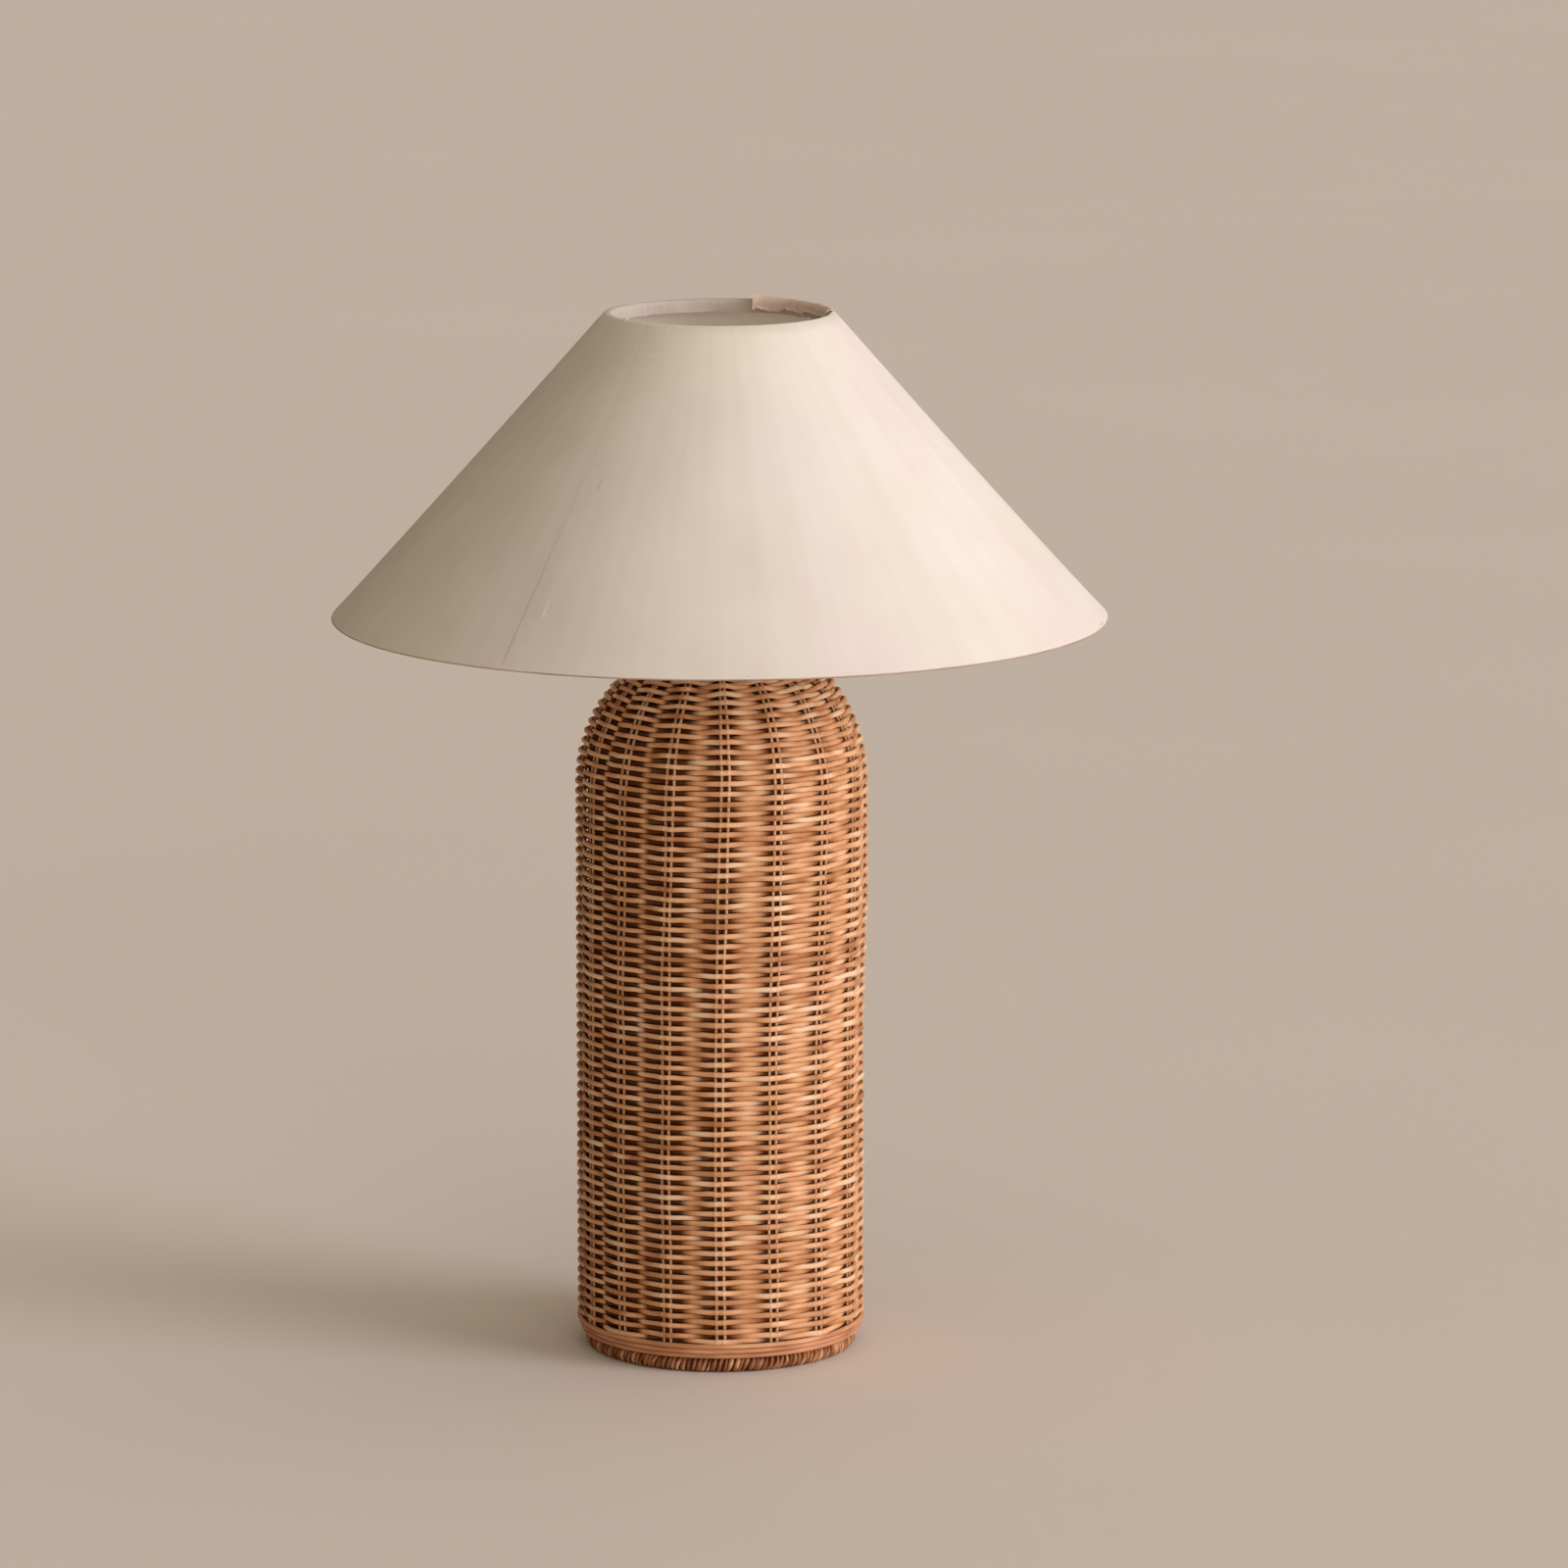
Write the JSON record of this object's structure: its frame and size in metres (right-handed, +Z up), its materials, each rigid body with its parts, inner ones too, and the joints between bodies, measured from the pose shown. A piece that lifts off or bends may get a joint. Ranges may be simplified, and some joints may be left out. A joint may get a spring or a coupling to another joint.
{
  "type": "table lamp with shade",
  "caption": "Table lamp with a bottle-shaped body woven from round cane round upright stakes, a plaited foot, and a wide conical fabric shade with an open top.",
  "frame": {"origin": "centre of the foot border's underside, on the table", "axes": "+Z up along the lamp's axis; -Y is the front; the cord gland is at the back, just above the foot"},
  "size_m": [0.3999, 0.4, 0.541],
  "materials": {
    "weave": "satin natural round cane, peeled, with uneven colour",
    "stakes": "satin natural cane",
    "border": "darker twisted cane, matte",
    "hoops": "satin natural cane",
    "board": "plain plywood",
    "neck_wood": "turned beech, oiled",
    "liner": "matte dark brown",
    "steel": "zinc plated",
    "weight": "bare cast disc",
    "brass": "turned brass",
    "neck_metal": "bronze lacquer",
    "gland": "moulded dark brown",
    "holder": "white moulded plastic",
    "ceramic": "glazed white ceramic",
    "wire": "white epoxy coat on steel wire",
    "shade": "off-white plain-weave fabric on a stiff laminate",
    "tape_top": "rolled pinkish brown tape",
    "tape_bottom": "rolled grey-brown tape",
    "glass": "opal white glass",
    "bulb_metal": "rolled thread, bright",
    "contact_black": "black insulator"
  },
  "bodies": {
    "body": {"foot_border": "border", "foot_hoops": "hoops", "base_board": "board", "base_weight": "weight", "weight_screws": "steel", "liner_front": "liner", "liner_back": "liner", "gland_panel": "liner", "stakes": "stakes", "weave_lower": "weave", "weave_middle": "weave", "weave_upper": "weave", "weave_shoulder": "weave", "cord_gland": "gland", "gland_nut": "gland", "neck_ring": "neck_wood", "neck_cap": "neck_metal", "nipple": "brass", "nipple_washer": "steel", "nipple_nut": "brass", "lock_washer": "steel", "holder_cap": "holder", "ceramic_insert": "ceramic", "centre_contact": "brass", "screw_shell": "brass", "holder_skirt": "holder", "lower_shade_ring": "holder"},
    "shade": {"shade_cover": "shade", "shade_seam": "shade", "upper_wire_ring": "wire", "lower_wire_ring": "wire", "upper_hem": "tape_top", "lower_hem": "tape_bottom", "fitter_ring": "wire", "fitter_arms": "wire"},
    "retaining_ring": {"upper_shade_ring": "holder"},
    "bulb": {"bulb_globe": "glass", "bulb_cap": "bulb_metal", "bulb_contact": "contact_black"},
    "switch": {"switch_spindle": "brass", "switch_knob": "holder"}
  },
  "joints": [
    {"name": "shade_swivel", "type": "hinge", "parent": "body", "child": "shade", "pos_m": [0, 0, 0.4155], "axis": [0, 0, 1], "continuous": true},
    {"name": "ring_unscrew", "type": "slide", "parent": "body", "child": "retaining_ring", "axis": [0, 0, 1], "range_m": [0, 0.012]},
    {"name": "bulb_unscrew", "type": "slide", "parent": "body", "child": "bulb", "axis": [0, 0, 1], "range_m": [0, 0.03]},
    {"name": "switch_turn", "type": "hinge", "parent": "body", "child": "switch", "pos_m": [0, 0, 0.38793], "axis": [0.766, 0.6428, 0], "continuous": true}
  ]
}
